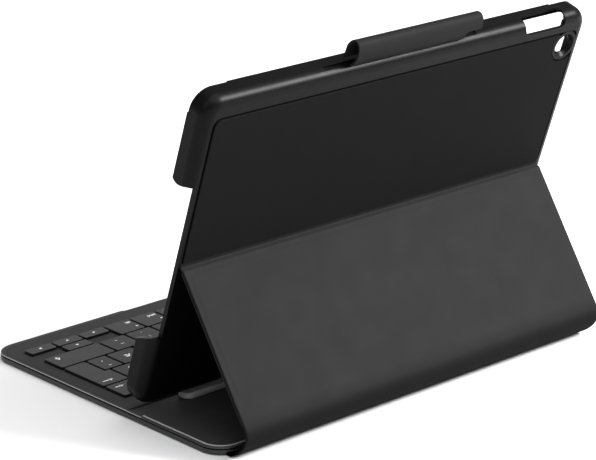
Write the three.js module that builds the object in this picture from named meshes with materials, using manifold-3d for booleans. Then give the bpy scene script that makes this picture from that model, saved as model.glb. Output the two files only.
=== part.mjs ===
// Tablet keyboard case: a slim keyboard deck, a flexible spine, a support panel and a tray that holds
// the tablet. Millimetres, +Z up. The deck stands on Z = 0 with its middle at the origin, the typist
// sits on the -Y side, +X is the typist's right.
import * as THREE from 'three';
import { mergeVertices } from 'three/addons/utils/BufferGeometryUtils.js';
import Module from 'manifold-3d';

const wasm = await Module();
wasm.setup();

// ---------------------------------------------------------------- driving sizes
const WIDTH = 248;                    // deck and tray, along X
const HALF = WIDTH / 2;
const GAP = 0.3;                      // clearance between neighbouring pieces

const DECK_FRONT = -89.75;
const DECK_REAR = 86.6;
const DECK_FLOOR = 0.9;               // base plate thickness
const RIM_TOP = 3.8;                  // rim beside the keys
const REAR_RIM_TOP = 4.4;             // rim beside the docking area
const REAR_RIM_START = 30.2;
const SIDE_RIM = 1.7;                 // rim thickness at the sides
const FRONT_RIM = 3.2;
const REAR_FLOOR_TOP = 3.4;           // sunken surface behind the keys
const PLATE_THICKNESS = 0.6;
const PLATE_REAR = 18.5;              // where the key plate ends
const FLAP_NOTCH_HALF = 40;           // front notch that the closing flap folds round
const FLAP_NOTCH_DEPTH = 1.3;
const FLAP_NOTCH_FLOOR = 1.6;
const DECK_CORNER = 12;
const BAR_HALF = 94.5;
const BAR_FRONT = 18.9;
const BAR_REAR = 28.6;

const UNIT = 16.75;                   // one key, middle to middle, along X
const ROW_PITCH = 16.45;
const KEY_GAP = 1.3;
const KEYS_RIGHT = 115.2;             // grid line at the right of the keys
const KEYS_FRONT = -75.4;             // grid line in front of the first row
const KEY_TOP = 5.3;
const KEY_BOTTOM = 2.9;
const KEY_CORNER = 1.1;
const WEB_HALF = 0.3;                 // half the web of plate left between two keys

const TRAY_HEIGHT = 172;
const TRAY_DEPTH = 12.1;
const TRAY_ANGLE = THREE.MathUtils.degToRad(70.79);
const TRAY_FOOT_Y = 27.74;            // lower back edge of the tray
const TRAY_FOOT_Z = 5.76;
const TRAY_EDGE_RADIUS = 6;
const TRAY_CORNER_RADIUS = 10;
const BACK_THICKNESS = 2.6;
const TABLET_WIDTH = 240;
const TABLET_HEIGHT = 169.5;
const TABLET_SPACE = 7.0;             // tablet and lining
const LIP_OVERHANG = 1.2;
const LIP_END = 104;                  // the lip stops short of the corners
const CORNER_DEPTH = 11.2;
const CORNER_REACH = 12;              // how far the low corners run down the sides
const TAB_START = 74;                 // deeper lip tabs near the top corners
const TAB_END = 112;
const TAB_OVERHANG = 3.5;
const PLATE_EDGE_INSET = 4.6;         // plate edge between the stubs of wall
const SLOT = { x0: -106.8, x1: -78.8, low: 165.4, depth: 7.4 };
const SLOT_LEDGE = 1.4;                // plate thickness at the volume slot
const HOME_END = { front: 36.6, low: 41.2, high: 125.4 };
const POWER_NOTCH = { low: 133, high: 152, floor: 8.0 };

const PANEL_HALF = 118.3;             // back panel and support panel, along X
const PANEL_TOP = 161.7;              // groove along the tray's top
const FOLD_V = 81.03;                 // fold axis, up the tray's back
const FOLD_PROUD = 0.9;               // and off its surface
const SUPPORT_THICKNESS = 2.0;
const SUPPORT_INSIDE = 0.6;           // part of it on the tray's side of the axis
const LOWER_AXIS = new THREE.Vector2(97.24, 17.06);   // support panel to spine, in Y and Z
const HINGE_RELIEF = 1.0;             // bare distance beside each living hinge
const SPINE_THICKNESS = 1.4;

const CAMERA_U = -111;
const CAMERA_V = 153.5;
const CAMERA_RADIUS = 4.8;
const CAMERA_SINK_RADIUS = 6.1;
const CAMERA_PANEL_CLEARANCE = 8;

const FLAP_LEFT = -43;
const FLAP_RIGHT = 37.5;
const FLAP_ROOT_LEFT = -34;           // the root is narrower at the typist's left
const FLAP_ROOT_TOP = 177;
const FLAP_THICKNESS = 0.9;
const FLAP_SEAT = { x0: -46, x1: 52, depth: 0.8 };

// ---------------------------------------------------------------- finishes
function finish(color, roughness, metalness = 0) {
  return { color, roughness, metalness };
}

const FINISH = {
  shell: finish(0x17181a, 0.38),
  deck: finish(0x2a2b2d, 0.62),
  plate: finish(0x3a3b3d, 0.7),
  rear: finish(0x1f2022, 0.55),
  key: finish(0x333436, 0.6),
  skin: finish(0x26272a, 0.8),
  lowerSkin: finish(0x303135, 0.78),
  lining: finish(0x1c1c1e, 0.95),
  bar: finish(0x4a4c4f, 0.45),
  board: finish(0x55504a, 0.9),
  steel: finish(0x9a9ca0, 0.35, 1),
  circuit: finish(0x1f4a35, 0.5),
  cell: finish(0xb9bcc0, 0.4, 0.6),
  membrane: finish(0xd8d9db, 0.6),
  port: finish(0x8a8c90, 0.3, 1),
  lens: finish(0xe6e8ea, 0.25),
};

// ---------------------------------------------------------------- shapes and solids
function roundedRect(x0, x1, y0, y1, radius) {
  const shape = new THREE.Shape();
  shape.absarc(x1 - radius, y0 + radius, radius, -Math.PI / 2, 0);
  shape.absarc(x1 - radius, y1 - radius, radius, 0, Math.PI / 2);
  shape.absarc(x0 + radius, y1 - radius, radius, Math.PI / 2, Math.PI);
  shape.absarc(x0 + radius, y0 + radius, radius, Math.PI, Math.PI * 1.5);
  shape.closePath();
  return shape;
}

function polygon(points) {
  return new THREE.Shape(points.map(([x, y]) => new THREE.Vector2(x, y)));
}

function solidOf(geometry) {
  const bare = geometry.index ? geometry.toNonIndexed() : geometry.clone();
  bare.deleteAttribute('normal');
  bare.deleteAttribute('uv');
  const merged = mergeVertices(bare, 1e-5);
  return new wasm.Manifold(new wasm.Mesh({
    numProp: 3,
    vertProperties: new Float32Array(merged.attributes.position.array),
    triVerts: new Uint32Array(merged.index.array),
  }));
}

function geometryOf(solid) {
  const mesh = solid.getMesh();
  const geometry = new THREE.BufferGeometry();
  geometry.setAttribute('position', new THREE.BufferAttribute(mesh.vertProperties, 3));
  geometry.setIndex(new THREE.BufferAttribute(mesh.triVerts, 1));
  geometry.computeVertexNormals();
  return geometry;
}

// A slab of a plan outline between two heights.
function slab(shape, z0, z1, curveSegments = 6) {
  const options = { depth: z1 - z0, bevelEnabled: false, curveSegments };
  return solidOf(new THREE.ExtrudeGeometry(shape, options).translate(0, 0, z0));
}

// A slab whose edges are rounded at both faces.
function roundedSlab(shape, z0, z1, radius, bevelSegments, curveSegments = 6) {
  const options = {
    depth: z1 - z0 - 2 * radius,
    bevelThickness: radius,
    bevelSize: radius,
    bevelOffset: -radius,
    bevelSegments,
    curveSegments,
  };
  return solidOf(new THREE.ExtrudeGeometry(shape, options).translate(0, 0, z0 + radius));
}

function block(x0, x1, y0, y1, z0, z1) {
  return solidOf(new THREE.BoxGeometry(x1 - x0, y1 - y0, z1 - z0)
    .translate((x0 + x1) / 2, (y0 + y1) / 2, (z0 + z1) / 2));
}

// A section drawn in two axes and extruded along X: (first, second) become (Y, Z).
function alongX(shape, x0, x1, curveSegments = 6) {
  const options = { depth: x1 - x0, bevelEnabled: false, curveSegments };
  const turn = new THREE.Matrix4().makeBasis(
    new THREE.Vector3(0, 1, 0), new THREE.Vector3(0, 0, 1), new THREE.Vector3(1, 0, 0));
  return solidOf(new THREE.ExtrudeGeometry(shape, options).applyMatrix4(turn).translate(x0, 0, 0));
}

// The outline of a strip of even thickness whose outer side follows a plane curve.
function stripOutline(curve, thickness, steps) {
  const outer = [];
  const inner = [];
  for (let i = 0; i <= steps; i++) {
    const point = curve.getPoint(i / steps);
    const tangent = curve.getTangent(i / steps);
    outer.push([point.x, point.y]);
    inner.unshift([point.x + tangent.y * thickness, point.y - tangent.x * thickness]);
  }
  return polygon([...outer, ...inner]);
}

const group = new THREE.Group();
const tray = new THREE.Group();
tray.position.set(0, TRAY_FOOT_Y, TRAY_FOOT_Z);
tray.rotation.x = TRAY_ANGLE;
group.add(tray);

function addPiece(name, solid, surface, parent = group) {
  const mesh = new THREE.Mesh(geometryOf(solid), new THREE.MeshStandardMaterial(surface));
  mesh.name = name;
  parent.add(mesh);
}

// ---------------------------------------------------------------- keyboard layout
// Every key is [name, width in keys], from the typist's right to the left. A third word marks a key
// that takes the lower or the upper half of the row.
const FRONT_ROW = [
  ['right', 1, 'lower'], ['down', 1, 'lower'], ['up', 0, 'upper'], ['left', 1, 'lower'],
  ['alt_right', 1], ['command_right', 1], ['space', 4.75], ['command_left', 1], ['alt_left', 1],
  ['control', 1], ['fn', 1],
];
const SHIFT_ROW = [
  ['shift_right', 2.06], ['minus', 1], ['period', 1], ['comma', 1], ['m', 1], ['n', 1], ['b', 1],
  ['v', 1], ['c', 1], ['x', 1], ['z', 1], ['shift_left', 1.69],
];
const HOME_ROW = [
  [null, 0.83], ['hash', 0.74], ['ae', 1], ['oe', 1], ['l', 1], ['k', 1], ['j', 1], ['h', 1],
  ['g', 1], ['f', 1], ['d', 1], ['s', 1], ['a', 1], ['caps_lock', 1.18],
];
const TOP_ROW = [
  [null, 1], ['plus', 1], ['ring_a', 1], ['p', 1], ['o', 1], ['i', 1], ['u', 1], ['y', 1],
  ['t', 1], ['r', 1], ['e', 1], ['w', 1], ['q', 1], ['tab', 0.75],
];
const NUMBER_ROW = [
  ['backspace', 1], ['accent', 1], ['equals', 1], ['zero', 1], ['nine', 1], ['eight', 1],
  ['seven', 1], ['six', 1], ['five', 1], ['four', 1], ['three', 1], ['two', 1], ['one', 1],
  ['section', 0.75],
];
const ROWS = [FRONT_ROW, SHIFT_ROW, HOME_ROW, TOP_ROW, NUMBER_ROW];
const ROW_NAMES = ['front', 'shift', 'home', 'top', 'number'];
// How many keys of each row, from the right, are nodes of their own.
const SEPARATE_KEYS = [7, 6, 6, 5, 6];

function keyCells(row, rowIndex) {
  const cells = [];
  let right = KEYS_RIGHT;
  const front = KEYS_FRONT + rowIndex * ROW_PITCH;
  for (const [name, units, half] of row) {
    const left = half === 'upper' ? right : right - units * UNIT;
    const cell = { name, x0: left, x1: right, y0: front, y1: front + ROW_PITCH };
    if (half === 'lower') cell.y1 = front + ROW_PITCH / 2;
    if (half === 'upper') {
      // The upper half key stands over the lower one placed just before it.
      cell.x0 = right;
      cell.x1 = right + UNIT;
      cell.y0 = front + ROW_PITCH / 2;
    }
    if (name) cells.push(cell);
    right = left;
  }
  return cells;
}

// The return key is one row-high tab above a narrower one.
function returnOutline(gap) {
  const front = KEYS_FRONT + 2 * ROW_PITCH + gap;
  const step = KEYS_FRONT + 3 * ROW_PITCH + gap;
  const back = KEYS_FRONT + 4 * ROW_PITCH - gap;
  const right = KEYS_RIGHT - gap;
  const narrow = KEYS_RIGHT - HOME_ROW[0][1] * UNIT + gap;
  const wide = KEYS_RIGHT - TOP_ROW[0][1] * UNIT + gap;
  return polygon([
    [narrow, front], [right, front], [right, back], [wide, back], [wide, step], [narrow, step],
  ]);
}

function keyCap(cell) {
  const g = KEY_GAP / 2;
  const plan = roundedRect(cell.x0 + g, cell.x1 - g, cell.y0 + g, cell.y1 - g, KEY_CORNER);
  return slab(plan, KEY_BOTTOM, KEY_TOP, 2);
}

// ---------------------------------------------------------------- deck
const deckOutline = roundedRect(-HALF, HALF, DECK_FRONT, DECK_REAR, DECK_CORNER);
const inside = HALF - SIDE_RIM;
const insideFront = DECK_FRONT + FRONT_RIM;
const insideRear = DECK_REAR - SIDE_RIM;
const flapNotch = slab(polygon([
  [-FLAP_NOTCH_HALF - 3, DECK_FRONT - 1], [FLAP_NOTCH_HALF + 3, DECK_FRONT - 1],
  [FLAP_NOTCH_HALF - 3, DECK_FRONT + FLAP_NOTCH_DEPTH],
  [-FLAP_NOTCH_HALF + 3, DECK_FRONT + FLAP_NOTCH_DEPTH],
]), FLAP_NOTCH_FLOOR, REAR_RIM_TOP + 1);

function makeDeck() {
  const full = roundedSlab(deckOutline, 0, REAR_RIM_TOP, 0.6, 2);
  const frontStep = block(-HALF - 1, HALF + 1, DECK_FRONT - 1, REAR_RIM_START, RIM_TOP, REAR_RIM_TOP + 1);
  const hollowPlan = roundedRect(-inside, inside, insideFront, insideRear, 10);
  const hollow = slab(hollowPlan, DECK_FLOOR, REAR_RIM_TOP + 1);
  const portHole = block(-HALF - 1, -inside + 1, 9.6, 18.4, 1.2, 3.2);
  const base = full.subtract(frontStep).subtract(hollow).subtract(flapNotch).subtract(portHole);
  addPiece('base_cover', base, FINISH.deck);

  const platePlan = roundedRect(-inside + GAP, inside - GAP, insideFront + GAP, insideRear - GAP, 9.7);
  const rearPart = block(-HALF, HALF, PLATE_REAR, DECK_REAR, -1, 9);
  const frontPart = block(-HALF, HALF, DECK_FRONT, PLATE_REAR + GAP, -1, 9);
  let keyPlate = slab(platePlan, RIM_TOP - PLATE_THICKNESS, RIM_TOP).subtract(rearPart);
  ROWS.forEach((row, index) => {
    for (const cell of keyCells(row, index)) {
      const w = WEB_HALF;
      keyPlate = keyPlate.subtract(block(cell.x0 + w, cell.x1 - w, cell.y0 + w, cell.y1 - w, 0, 9));
    }
  });
  keyPlate = keyPlate.subtract(slab(returnOutline(WEB_HALF), 0, 9));
  const lightHole = slab(new THREE.Shape().absarc(-112, 12.4, 1.1, 0, Math.PI * 2), 0, 9, 12);
  addPiece('key_plate', keyPlate.subtract(lightHole), FINISH.plate);

  const rearPlate = slab(platePlan, REAR_FLOOR_TOP - PLATE_THICKNESS, REAR_FLOOR_TOP).subtract(frontPart);
  addPiece('rear_plate', rearPlate, FINISH.rear);

  addPiece('backing_plate', block(-114.5, 114.5, -74.8, 6.2, 0.95, 1.2), FINISH.steel);
  addPiece('membrane_sheet', block(-114.5, 114.5, -74.8, 6.2, 1.25, 1.5), FINISH.membrane);
  addPiece('circuit_board', block(-110, -32, 8, 30, 1.1, 1.9), FINISH.circuit);
  addPiece('battery', block(-26, 96, 32, 80, 1.1, 2.5), FINISH.cell);
  addPiece('latch_plate', block(-34, 34, insideFront + 0.6, insideFront + 7, 1.2, 2.0), FINISH.steel);
  const portShell = block(-HALF + 0.3, -115, 10, 18, 1.95, 2.85);
  const portMouth = block(-HALF, -118, 10.6, 17.4, 2.2, 2.6);
  addPiece('charge_port', portShell.subtract(portMouth), FINISH.port);
  const lightPipe = slab(new THREE.Shape().absarc(-112, 12.4, 0.85, 0, Math.PI * 2), 2.2, RIM_TOP, 12);
  addPiece('status_light', lightPipe, FINISH.lens);
}

// The bar that the tray's foot drops on, with two magnets let in from below.
function makeDockingBar() {
  const section = polygon([
    [BAR_FRONT, 3.7], [BAR_REAR, 3.7], [BAR_REAR, 5.7], [27.9, 6.1], [24.4, 6.7], [20, 6.8],
    [BAR_FRONT, 5.9],
  ]);
  const plan = slab(roundedRect(-BAR_HALF, BAR_HALF, BAR_FRONT - 0.1, BAR_REAR + 0.1, 4.9), 0, 10, 5);
  let bar = alongX(section, -BAR_HALF, BAR_HALF).intersect(plan);
  for (const side of [-1, 1]) {
    const middle = side * 48;
    bar = bar.subtract(block(middle - 41, middle + 41, 20.7, 26.3, 3, 5.7));
    const name = side > 0 ? 'dock_magnet_right' : 'dock_magnet_left';
    addPiece(name, block(middle - 40.7, middle + 40.7, 21, 26, 3.8, 5.4), FINISH.steel);
  }
  addPiece('docking_bar', bar, FINISH.bar);
}

function makeKeys() {
  ROWS.forEach((row, index) => {
    const cells = keyCells(row, index);
    const separate = cells.slice(0, SEPARATE_KEYS[index]);
    for (const cell of separate) addPiece(`key_${cell.name}`, keyCap(cell), FINISH.key);
    // The far end of the row is one node: its caps are joined by a thin carrier strip under them.
    const far = cells.slice(SEPARATE_KEYS[index]);
    const middle = (far[0].y0 + far[0].y1) / 2;
    const carrier = block(far[far.length - 1].x0 + 3, far[0].x1 - 3, middle - 2, middle + 2,
      KEY_BOTTOM - 0.25, KEY_BOTTOM + 0.1);
    const caps = far.reduce((joined, cell) => joined.add(keyCap(cell)), carrier);
    addPiece(`keys_${ROW_NAMES[index]}_row_left`, caps, FINISH.key);
  });
  addPiece('key_return', slab(returnOutline(KEY_GAP / 2), KEY_BOTTOM, KEY_TOP), FINISH.key);
}

// ---------------------------------------------------------------- spine and support panel
// Section axes: along the panel from the fold down, and out of its back face.
const cosTray = Math.cos(TRAY_ANGLE);
const sinTray = Math.sin(TRAY_ANGLE);
const FOLD_AXIS = new THREE.Vector2(
  TRAY_FOOT_Y + FOLD_V * cosTray + FOLD_PROUD * sinTray,
  TRAY_FOOT_Z + FOLD_V * sinTray - FOLD_PROUD * cosTray,
);
const panelRun = LOWER_AXIS.clone().sub(FOLD_AXIS).normalize();
const panelOut = new THREE.Vector2(-panelRun.y, panelRun.x);
const panelLength = LOWER_AXIS.distanceTo(FOLD_AXIS);

function panelPoint(along, out) {
  const point = FOLD_AXIS.clone().addScaledVector(panelRun, along).addScaledVector(panelOut, out);
  return [point.x, point.y];
}

function panelLayer(out0, out1, margin) {
  const start = HINGE_RELIEF + margin;
  const end = panelLength - HINGE_RELIEF - margin;
  return alongX(polygon([
    panelPoint(start, out0), panelPoint(end, out0), panelPoint(end, out1), panelPoint(start, out1),
  ]), -PANEL_HALF + margin, PANEL_HALF - margin);
}

function makeSupportPanel() {
  const outside = SUPPORT_THICKNESS - SUPPORT_INSIDE;
  addPiece('panel_outer_skin', panelLayer(outside - 0.5, outside, 0), FINISH.lowerSkin);
  addPiece('panel_board', panelLayer(-SUPPORT_INSIDE + 0.6, outside - 0.6, 2.5), FINISH.board);
  addPiece('panel_inner_skin', panelLayer(-SUPPORT_INSIDE, -SUPPORT_INSIDE + 0.5, 0), FINISH.lining);
}

function makeSpine() {
  const [startY, startZ] = panelPoint(panelLength + HINGE_RELIEF, SUPPORT_THICKNESS - SUPPORT_INSIDE);
  const curve = new THREE.CubicBezierCurve(
    new THREE.Vector2(87.6, 0.0), new THREE.Vector2(97.2, 4.0),
    new THREE.Vector2(102.2, 11.4), new THREE.Vector2(startY, startZ),
  );
  const strip = alongX(stripOutline(curve, -SPINE_THICKNESS, 12), -PANEL_HALF, PANEL_HALF);
  addPiece('spine_strip', strip, FINISH.lowerSkin);
}

// ---------------------------------------------------------------- tray, in its own axes
// X across, Y up the back from the foot, Z from the back face towards the tablet.
const pocketHalf = TABLET_WIDTH / 2 + 0.4;
const pocketLow = (TRAY_HEIGHT - TABLET_HEIGHT) / 2;
const pocketHigh = TRAY_HEIGHT - pocketLow;
const pocketTop = BACK_THICKNESS + TABLET_SPACE;

function circle(x, y, radius) {
  return new THREE.Shape().absarc(x, y, radius, 0, Math.PI * 2);
}

function backPanelShape(margin) {
  return roundedRect(
    -PANEL_HALF + margin, PANEL_HALF - margin, FOLD_V + HINGE_RELIEF, PANEL_TOP - margin, 4.5);
}

function makeTrayShell() {
  const outline = roundedRect(-HALF, HALF, 0, TRAY_HEIGHT, TRAY_CORNER_RADIUS);
  const thick = roundedSlab(outline, 0, TRAY_DEPTH + TRAY_EDGE_RADIUS, TRAY_EDGE_RADIUS, 5, 7);
  let shell = thick.subtract(block(-HALF - 1, HALF + 1, -1, TRAY_HEIGHT + 1, TRAY_DEPTH, TRAY_DEPTH * 2));

  const pocketPlan = roundedRect(-pocketHalf, pocketHalf, pocketLow, pocketHigh, 8);
  const pocket = slab(pocketPlan, BACK_THICKNESS, pocketTop);
  const over = LIP_OVERHANG;
  const mouthPlan = roundedRect(
    -pocketHalf + over, pocketHalf - over, pocketLow + over, pocketHigh - over, 7);
  let mouth = slab(mouthPlan, pocketTop - 0.1, TRAY_DEPTH + 1);
  for (const side of [-1, 1]) {
    const near = side * TAB_START;
    const far = side * TAB_END;
    const low = pocketHigh - TAB_OVERHANG;
    mouth = mouth.subtract(block(
      Math.min(near, far), Math.max(near, far), low, TRAY_HEIGHT, pocketTop, TRAY_DEPTH + 2));
  }
  shell = shell.subtract(pocket).subtract(mouth);

  // The lip is lower round the four corners.
  for (const side of [-1, 1]) {
    const near = side * LIP_END;
    const far = side * (HALF + 1);
    const ends = [[-1, CORNER_REACH], [TRAY_HEIGHT - CORNER_REACH, TRAY_HEIGHT + 1]];
    for (const [low, high] of ends) {
      shell = shell.subtract(block(
        Math.min(near, far), Math.max(near, far), low, high, CORNER_DEPTH, TRAY_DEPTH + 1));
    }
  }

  // The home-button end is open between two stubs of wall, and the plate's edge is set in there.
  const homeEnd = alongX(polygon([
    [HOME_END.front, TRAY_DEPTH + 1], [HOME_END.low, BACK_THICKNESS],
    [HOME_END.high, BACK_THICKNESS], [HOME_END.high, TRAY_DEPTH + 1],
  ]), pocketHalf - 3, HALF + 1);
  const plateEdge = block(
    HALF - PLATE_EDGE_INSET, HALF + 1, HOME_END.low, HOME_END.high, -1, BACK_THICKNESS + 0.1);
  shell = shell.subtract(homeEnd).subtract(plateEdge);

  // Slot over the volume keys, with the plate thinned under it, and in the far wall a notch for the
  // power key and the headphone hole.
  const slotPlan = slab(roundedRect(SLOT.x0, SLOT.x1, SLOT.low, TRAY_HEIGHT + 8, 3), -1, SLOT.depth);
  const slotSide = slab(roundedRect(SLOT.x0, SLOT.x1, -SLOT.depth, 4, 3.4), 0, 20);
  const turnedSide = slotSide.rotate([-90, 0, 0]).translate([0, TRAY_HEIGHT - 12, 0]);
  shell = shell.subtract(slotPlan.intersect(turnedSide));
  shell = shell.subtract(block(
    SLOT.x0 - 1.5, SLOT.x1 + 1.5, SLOT.low - 1.5, pocketHigh, SLOT_LEDGE, BACK_THICKNESS + 0.1));
  shell = shell.subtract(block(
    -HALF - 1, -pocketHalf + LIP_OVERHANG + 1, POWER_NOTCH.low, POWER_NOTCH.high,
    POWER_NOTCH.floor, TRAY_DEPTH + 1));
  shell = shell.subtract(alongX(roundedRect(13, 21.5, 2.7, 8.7, 2.9), -HALF - 1, -pocketHalf + 1));

  // Camera hole with a sunk rim.
  const sink = solidOf(new THREE.CylinderGeometry(CAMERA_RADIUS, CAMERA_SINK_RADIUS + 0.7, 2.6, 28)
    .rotateX(Math.PI / 2).translate(CAMERA_U, CAMERA_V, 0.7));
  shell = shell.subtract(sink).subtract(slab(circle(CAMERA_U, CAMERA_V, CAMERA_RADIUS), -1, 4, 14));

  // Bed for the back panel, seat for the flap's root, and beds for the foot magnets.
  const bed = slab(backPanelShape(0), -1, 1.0);
  const cameraIsland = slab(circle(CAMERA_U, CAMERA_V, CAMERA_PANEL_CLEARANCE), -2, 2, 10);
  shell = shell.subtract(bed.subtract(cameraIsland));
  shell = shell.subtract(block(
    FLAP_SEAT.x0, FLAP_SEAT.x1, TRAY_HEIGHT - FLAP_SEAT.depth, TRAY_HEIGHT + 1, -1, 5.6));
  for (const side of [-1, 1]) {
    const middle = side * 52;
    shell = shell.subtract(block(middle - 30.3, middle + 30.3, 5.7, 14.3, 1.1, BACK_THICKNESS + 0.1));
    const name = side > 0 ? 'tray_magnet_right' : 'tray_magnet_left';
    const magnet = block(middle - 30, middle + 30, 6, 14, 1.3, BACK_THICKNESS - 0.1);
    addPiece(name, magnet, FINISH.steel, tray);
  }
  addPiece('tray_shell', shell, FINISH.shell, tray);
}

function makeBackPanel() {
  const hole = slab(circle(CAMERA_U, CAMERA_V, CAMERA_PANEL_CLEARANCE + 0.5), -2, 3, 10);
  const panel = slab(backPanelShape(0.5), -0.4, 0.8).subtract(hole);
  addPiece('back_panel', panel, FINISH.skin, tray);
}

function makeLining() {
  const plan = roundedRect(
    -pocketHalf + 0.6, pocketHalf - 4.2, pocketLow + 0.6, pocketHigh - 0.6, 7.5);
  const hole = slab(circle(CAMERA_U, CAMERA_V, CAMERA_RADIUS + 1.2), 0, 9, 10);
  const slotGap = block(SLOT.x0 - 1.8, SLOT.x1 + 1.8, SLOT.low - 1.8, TRAY_HEIGHT, 0, 9);
  const lining = slab(plan, BACK_THICKNESS + 0.05, BACK_THICKNESS + 0.45);
  addPiece('tray_lining', lining.subtract(hole).subtract(slotGap), FINISH.lining, tray);
}

// The flap rises from the tray's top edge, turns over and hangs in front of it, a magnet in its end.
function makeFlap() {
  const centre = new THREE.SplineCurve([
    new THREE.Vector2(171.6, 2.8), new THREE.Vector2(174.8, 0.7), new THREE.Vector2(179.4, -0.3),
    new THREE.Vector2(183.0, 1.0), new THREE.Vector2(183.2, 4.0), new THREE.Vector2(180.2, 6.2),
    new THREE.Vector2(176.6, 6.7), new THREE.Vector2(173.2, 6.8),
  ]);
  let flap = alongX(stripOutline(centre, FLAP_THICKNESS, 20), FLAP_LEFT, FLAP_RIGHT);
  flap = flap.subtract(block(FLAP_LEFT - 1, FLAP_ROOT_LEFT, 170, FLAP_ROOT_TOP, -2, 3.4));
  addPiece('closing_flap', flap, FINISH.lowerSkin, tray);
  addPiece('flap_magnet', block(-30, 30, 174.2, 178, 4.95, 5.5), FINISH.steel, tray);
}

makeDeck();
makeDockingBar();
makeKeys();
makeSpine();
makeSupportPanel();
makeTrayShell();
makeBackPanel();
makeLining();
makeFlap();

export default group;
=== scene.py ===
"""Tablet keyboard case: keyboard deck, folding cover and tablet tray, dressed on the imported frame.

Sizes are in millimetres while a piece is shaped and in metres once it is placed. The deck stands on
Z = 0, the typist sits on the -Y side and +X is the typist's right.
"""

import logging
import math
from dataclasses import dataclass
from enum import Enum
from typing import Callable, Iterable, Sequence

import bmesh
import bpy
from bmesh.types import BMEdge, BMesh, BMFace, BMVert
from mathutils import Matrix, Vector
from mathutils.geometry import interpolate_bezier


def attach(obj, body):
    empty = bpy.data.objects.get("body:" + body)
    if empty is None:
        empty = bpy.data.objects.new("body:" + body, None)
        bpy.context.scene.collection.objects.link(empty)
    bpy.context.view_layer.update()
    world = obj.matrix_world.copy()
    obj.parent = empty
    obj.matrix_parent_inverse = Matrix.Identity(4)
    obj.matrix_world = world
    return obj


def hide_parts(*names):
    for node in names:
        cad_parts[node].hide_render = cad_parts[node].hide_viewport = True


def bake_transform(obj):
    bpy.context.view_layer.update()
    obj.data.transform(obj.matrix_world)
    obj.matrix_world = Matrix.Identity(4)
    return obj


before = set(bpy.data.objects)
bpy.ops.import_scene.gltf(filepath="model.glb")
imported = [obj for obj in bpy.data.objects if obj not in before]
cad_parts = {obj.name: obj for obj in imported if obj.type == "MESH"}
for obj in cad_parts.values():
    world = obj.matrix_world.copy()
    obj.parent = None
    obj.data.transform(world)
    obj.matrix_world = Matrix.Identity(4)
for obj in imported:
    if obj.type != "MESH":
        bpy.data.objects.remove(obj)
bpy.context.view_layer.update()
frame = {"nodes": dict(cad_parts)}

LOG = logging.getLogger("keyboard_case")
MM = 0.001
FLAT = Matrix.Identity(4)
TRAY_TILT = math.radians(70.79)
TRAY_FOOT = Vector((0.0, 27.74, 5.76))
TRAY_PLACE = Matrix.Translation(TRAY_FOOT) @ Matrix.Rotation(TRAY_TILT, 4, "X")

Point = tuple[float, float]


# ------------------------------------------------------------------ finishes
class Grain(Enum):
    """The surface grain that a finish is moulded or pressed with."""

    SATIN = "satin"
    SPARK = "spark"
    HIDE = "hide"
    BRUSHED = "brushed"
    FELT = "felt"


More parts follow.
